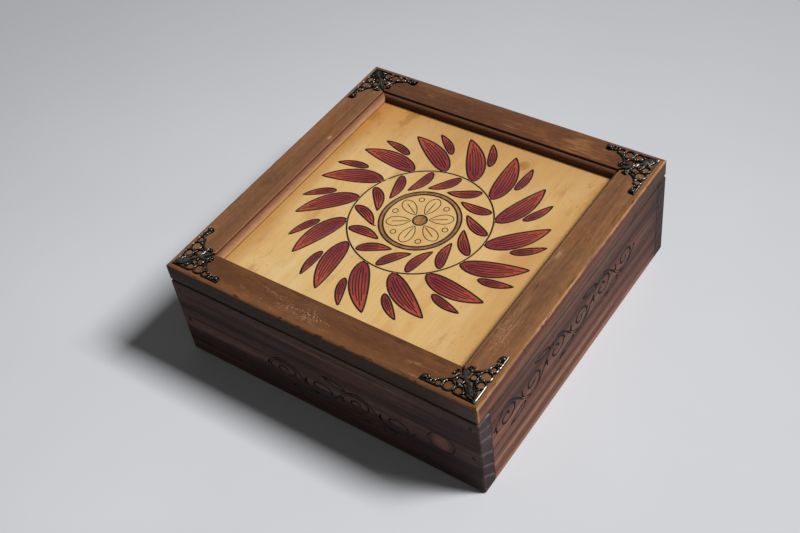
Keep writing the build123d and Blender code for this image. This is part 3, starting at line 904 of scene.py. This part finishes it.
def cast_leaf(start, end, half_width):
    """A ribbed leaf, high along its middle, on a flat foot."""
    leaf = Leaf(start, end, half_width)
    mesh = bmesh.new()
    rows, columns = 14, 10
    tops, feet = [], []
    for i in range(rows + 1):
        t = min(max(i / rows, 0.012), 0.988)
        top, foot = [], []
        for j in range(columns + 1):
            side = -1 + 2 * j / columns
            rib = 0.5 + 0.5 * math.cos(2 * math.pi * (4.0 * t - 1.1 * abs(side)))
            crown = (1 - abs(side) ** 1.6) * (0.35 + 0.65 * math.sin(math.pi * min(1.0, t + 0.12)))
            spine = 0.30 if j == columns // 2 else 0.0
            height = lowest_leaf + crown * (0.42 + 0.22 * rib) + spine * crown
            spot = leaf.point(t, side)
            top.append(mesh.verts.new(flat(*spot, min(height, highest_leaf))))
            foot.append(mesh.verts.new(flat(*spot, 0.0)))
        tops.append(top)
        feet.append(foot)
    for i in range(rows):
        for j in range(columns):
            mesh.faces.new((tops[i][j], tops[i][j + 1], tops[i + 1][j + 1], tops[i + 1][j]))
            mesh.faces.new((feet[i][j], feet[i + 1][j], feet[i + 1][j + 1], feet[i][j + 1]))
        for j in (0, columns):
            mesh.faces.new((tops[i][j], tops[i + 1][j], feet[i + 1][j], feet[i][j]))
    for i in (0, rows):
        for j in range(columns):
            mesh.faces.new((tops[i][j], tops[i][j + 1], feet[i][j + 1], feet[i][j]))
    return mesh


def corner_mesh():
    """One ornament, drawn from its apex along its two legs."""
    shells = []

    def add_bar(path, width, height, closed=False):
        mesh = bmesh.new()
        sweep(mesh, path, bar(width, height), flat, closed)
        shells.append(new_piece("shell", mesh))

    def add_ring(circle, inset, points, width, height):
        centre, share = circle
        add_bar(ring_path(on_leg(centre), share * corner_leg - inset, points), width, height, True)

    def add_leaf(start, end, share):
        shells.append(new_piece("shell", cast_leaf(on_leg(start), on_leg(end), share * corner_leg)))

    def add_knob(spot):
        mesh = bmesh.new()
        bmesh.ops.create_uvsphere(mesh, u_segments=14, v_segments=8, radius=1.0)
        bmesh.ops.scale(mesh, verts=mesh.verts, vec=(knob_radius * MM, knob_radius * MM, knob_rise * MM))
        bmesh.ops.translate(mesh, verts=mesh.verts, vec=flat(*on_leg(spot), knob_foot + knob_rise))
        shells.append(new_piece("shell", mesh))

    def on_leg(shares):
        """A place on the first leg, or its mirror image on the twin."""
        a, b = shares[0] * corner_leg, shares[1] * corner_leg
        return (a, b) if twin == 0 else (b, a)

    twin = 0
    for leaf in diagonal_leaf_shares:
        add_leaf(*leaf)
    for twin in (0, 1):
        for first, last, off, width, height in edge_bars:
            edge = [(first + (last - first) * i / 6, off) for i in range(7)]
            add_bar([p if twin == 0 else p[::-1] for p in edge], width, height)
        for leaf in side_leaf_shares:
            add_leaf(*leaf)
        for circle in ring_shares:
            add_ring(circle, *ring_bar)
        add_ring(eyelet_shares, *eyelet_bar)
        for circle in chain_shares:
            add_ring(circle, *chain_bar)
        for spot in knob_shares:
            add_knob(spot)
        bow = sweep_bow if twin == 0 else -sweep_bow
        hollow = Leaf(on_leg(sweep_shares[0]), on_leg(sweep_shares[1]), 1.0, bow)
        add_bar([hollow.point(i / 12, 0) for i in range(13)], *sweep_bar)
        centre = on_leg(curl_shares[0])
        curl = []
        for i in range(26):
            t = i / 25
            spot = polar(tendril_radius * (1 - tendril_taper * t), tendril_start + tendril_turn * t)
            curl.append((centre[0] + spot[twin], centre[1] + spot[1 - twin]))
        add_bar(curl, *curl_bar)
    whole = shells[0]
    for shell in shells[1:]:
        cut(whole, shell, "UNION")
    smooth(whole, 42)
    return whole


pattern = corner_mesh()
reach = half_side - corner_inset
# Side along X and Y, quarter turns, and the edge with a painted highlight where the lamp catches it
corner_places = {
    "front_left": (-1, -1, 0, None),
    "front_right": (1, -1, 1, (1, 1.0)),
    "back_right": (1, 1, 2, (0, 0.35)),
    "back_left": (-1, 1, 3, None),
}
tones = "070706", "6c685f", "121411"
for name, (side_x, side_y, turns, rim) in corner_places.items():
    corner = add(f"corner_{name}_cast", pattern.data.copy())
    coat(corner, metal(f"antique_{name}", *tones, 0.60 * MM, 1.70 * MM, 420.0, 0.15, rim))
    apex = Matrix.Translation((side_x * reach, side_y * reach, lid_top))
    corner.matrix_world = apex @ Matrix.Rotation(turns * math.pi / 2, 4, "Z")
    replace(corner, f"corner_{name}", "lid")
bpy.data.objects.remove(pattern)

# Screws with their slots

screw_x = (-62.2, -47.8, 47.8, 62.2)
screw_y = 94.56
screw_turns = (20, 75, 140, 5)
slot_size = (4.0 * MM, 0.5 * MM, 0.9 * MM)
slot_middle = 0.1 * MM


def slotted(node, level, body, material):
    """A copy of one node of screws with a slot across each head."""
    piece = copy_of(node, f"{node}_slotted")
    mesh = bmesh.new()
    for x, degrees in zip(screw_x, screw_turns):
        place = Matrix.Translation((x * MM, screw_y * MM, level))
        turn = Matrix.Rotation(math.radians(degrees), 4, "Z")
        bmesh.ops.create_cube(mesh, size=1.0, matrix=place @ turn @ Matrix.Diagonal((*slot_size, 1.0)))
    cut(piece, new_piece("cutter", mesh))
    smooth(piece, 30)
    coat(piece, material)
    replace(piece, node, body)


brass = metal("aged_brass", "4c3a1e", "74603e", "3e3220", seam - 3 * MM, seam + 3 * MM, 260.0, 0.38)
steel = metal("dark_steel", "2a2725", "5d5751", "4a2f20", 0.0, 80 * MM, 500.0, 0.46)
nail_steel = metal("nail_steel", "0b0a09", "211e1b", "1a110c", 0.0, 80 * MM, 500.0, 0.50)
slotted("box_leaf_screws", seam - slot_middle, "box", brass)
slotted("lid_leaf_screws", seam + slot_middle, "lid", brass)

# Materials of the nodes that stay as they are

finishes = {
    "back_board": body_wood("back_stained", "X", (140 * MM, -60 * MM), -0.02, 37.0, run_darkening=0.35, wear=0.2,
                            ends=("2f2421", "362925", 0.15)),
    "left_board": body_wood("left_stained", "Y", (-150 * MM, -50 * MM), 0.02, 53.0),
    "bottom_panel": bare_board("bottom_plywood", 61.0),
    # The front rail's dark side tones are its stain with painted shade.
    "lid_rail_front": rail_wood(
        "front_rail", "X", (-120 * MM, 18 * MM), 0.05, 71.0, ("633d25", "724a31"),
        wear=0.40, sides=("231917", "31231f", "3a2922", "7a655c"), bead_light_and_shade=("5c3a26", "4a2c1c"), bead_share=0.7,
        step_face_light_and_shade="2a170f", lip_wear_and_highlight="5a3823", crest_wear_and_highlight=("8a5a36", 0.5),
        far_end=(64 * MM, 97 * MM, "54403a", 0.8),
        scuffs=(((-14.0, -91.0), (20.0, 5.5), "b8967c", 0.8),),
        marks=(
            ((44.3, -82.5), (5.0, 1.3), "3a2418", 0.6),
            ((-50.0, -99.0), (2.2, 1.3), "24150e", 0.8),
            ((-35.0, -99.0), (2.2, 1.3), "24150e", 0.8),
        ),
    ),
    "lid_rail_back": rail_wood(
        "back_rail", "X", (128 * MM, 22 * MM), -0.04, 79.0, ("5f3a27", "704731"),
        wear=0.3, sides=("3a2823", "573d35", "6d4a38", "6d4a38"), bead_light_and_shade=("6a4735", "3f2316"), bead_share=0.9,
        step_face_light_and_shade="341b0e", lip_wear_and_highlight="5c3a25", crest_wear_and_highlight=("83573c", 0.4),
        marks=(((54.0, 88.0), (15.0, 8.0), "97673f", 0.75),),
    ),
    "lid_rail_left": rail_wood(
        "left_rail", "Y", (-125 * MM, 15 * MM), 0.04, 83.0, ("785238", "8c6445"),
        wear=0.5, sides=("442e29", "65463b", "80573f", "80573f"), bead_light_and_shade=("7d5339", "cb9d72"), bead_share=0.95,
        step_face_light_and_shade="603a24", lip_wear_and_highlight="a8755a", crest_wear_and_highlight=("a8744a", 0.6),
        marks=(((29.1, -83.7), (2.0, 1.2), "c39f76", 0.6),),
    ),
    "lid_rail_right": rail_wood(
        "right_rail", "Y", (122 * MM, 20 * MM), 0.05, 97.0, ("785339", "8e6546"),
        wear=0.70, sides=("43292b", "623a38", "8a5230", "ad5a34"), bead_light_and_shade=("a06c50", "7d5036"), bead_share=0.95,
        step_face_light_and_shade="5c3824", lip_wear_and_highlight="8f6a48", crest_wear_and_highlight=("c28c58", 0.9),
        scuffs=(((-52.0, 86.0), (16.0, 5.0), "b8967c", 0.7),), far_end=(25 * MM, 90 * MM, "3a2d2a", 0.85),
        marks=(((8.3, 82.9), (5.0, 1.6), "bf9b74", 0.6), ((-17.3, 85.0), (6.0, 2.4), "4a2e1e", 0.65)),
    ),
    "corner_nails": nail_steel,
    "bottom_pins": steel,
    "corner_pins": metal(
        "pin_metal", "0b0a09", "4b463f", "171a17", lid_top + 1.2 * MM, lid_top + 2.4 * MM, 420.0, 0.16
    ),
}
for side in ("left", "right"):
    finishes[f"hinge_{side}_pin"] = steel
    for leaf in ("box", "lid"):
        finishes[f"hinge_{side}_{leaf}_leaf"] = brass
for node, material in finishes.items():
    coat(nodes[node], material)

# Floor, light and camera

floor_half_side = 6.0
# The floor is pale near the box and painted greyer further away, as a painted pool of light.
light_pool_centre, light_pool_start, light_pool_end = (0.02, -0.11, 0.0), 0.1, 0.6
fill_light = (0.082, 0.080, 0.078, 1.0)
seen_backdrop = (0.50, 0.51, 0.52, 1.0)


def set_axes(thing, place, x_axis, y_axis, z_axis):
    """Put a lamp or a camera at a place, with its own axes along the given ones."""
    turn = Matrix((x_axis, y_axis, z_axis)).transposed().to_4x4()
    thing.matrix_world = Matrix.Translation(place) @ turn


floor_mesh = bmesh.new()
bmesh.ops.create_grid(floor_mesh, x_segments=1, y_segments=1, size=floor_half_side)
floor = new_piece("floor", floor_mesh)
cloth = Shader(bpy.data.materials.new("pale_floor"))
floor_vector = cloth.position()[0]
cloth.colour = cloth.mix(cloth.noise(floor_vector, (9, 9, 9), 1.0, 3.0), "d0d2d6", "d9dbdf")
pool_distance = cloth.nodes.new("ShaderNodeVectorMath")
pool_distance.operation = "DISTANCE"
cloth.feed(pool_distance, floor_vector, light_pool_centre)
cloth.over(cloth.step(pool_distance.outputs["Value"], light_pool_start, light_pool_end, 0.0, 0.8), "a7a9ac")
cloth_rough = cloth.step(cloth.noise(floor_vector, (700, 700, 700)), 0.3, 0.7, 0.85, 0.95)
coat(floor, cloth.finish(cloth_rough, specular_ior_level=0.1))

sky = Shader(bpy.data.worlds.new("studio"))
rays = sky.nodes.new("ShaderNodeLightPath").outputs
seen = sky.larger(sky.larger(rays["Is Camera Ray"], rays["Is Glossy Ray"]), rays["Is Transmission Ray"])
backdrop = sky.nodes.new("ShaderNodeBackground")
sky.put(backdrop.inputs["Color"], sky.mix(seen, fill_light, seen_backdrop))
sky.put(sky.nodes.new("ShaderNodeOutputWorld").inputs["Surface"], backdrop.outputs[0])
scene.world = sky.owner

light_way = Vector((0.72, 0.375, 1.0)).normalized()
light_distance = 6.0
lamp = bpy.data.lights.new("key", "AREA")
lamp.shape = "RECTANGLE"
lamp.size = 1.9
lamp.size_y = 1.35
lamp.energy = 412.0
key = add("key", lamp)
key_y = light_way.cross(Vector((1, 0, 0))).normalized()
set_axes(key, light_way * light_distance, key_y.cross(light_way), key_y, light_way)

camera_place = Vector((297.19, -362.51, 503.70)) * MM
camera_azimuth = math.radians(41.176)
camera_elevation = math.radians(45.373)
camera_roll = math.radians(-9.223)
forward = Vector((
    -math.sin(camera_azimuth) * math.cos(camera_elevation),
    math.cos(camera_azimuth) * math.cos(camera_elevation),
    -math.sin(camera_elevation),
))
level = forward.cross(Vector((0, 0, 1))).normalized()
upward = level.cross(forward)
right_axis = math.cos(camera_roll) * level + math.sin(camera_roll) * upward
up_axis = right_axis.cross(forward)
lens = bpy.data.cameras.new("camera")
lens.sensor_fit = "HORIZONTAL"
lens.sensor_width = 36.0
lens.lens = 52.285
lens.clip_start = 0.01
camera = add("camera", lens)
set_axes(camera, camera_place, right_axis, up_axis, -forward)
scene.camera = camera

bpy.context.view_layer.update()
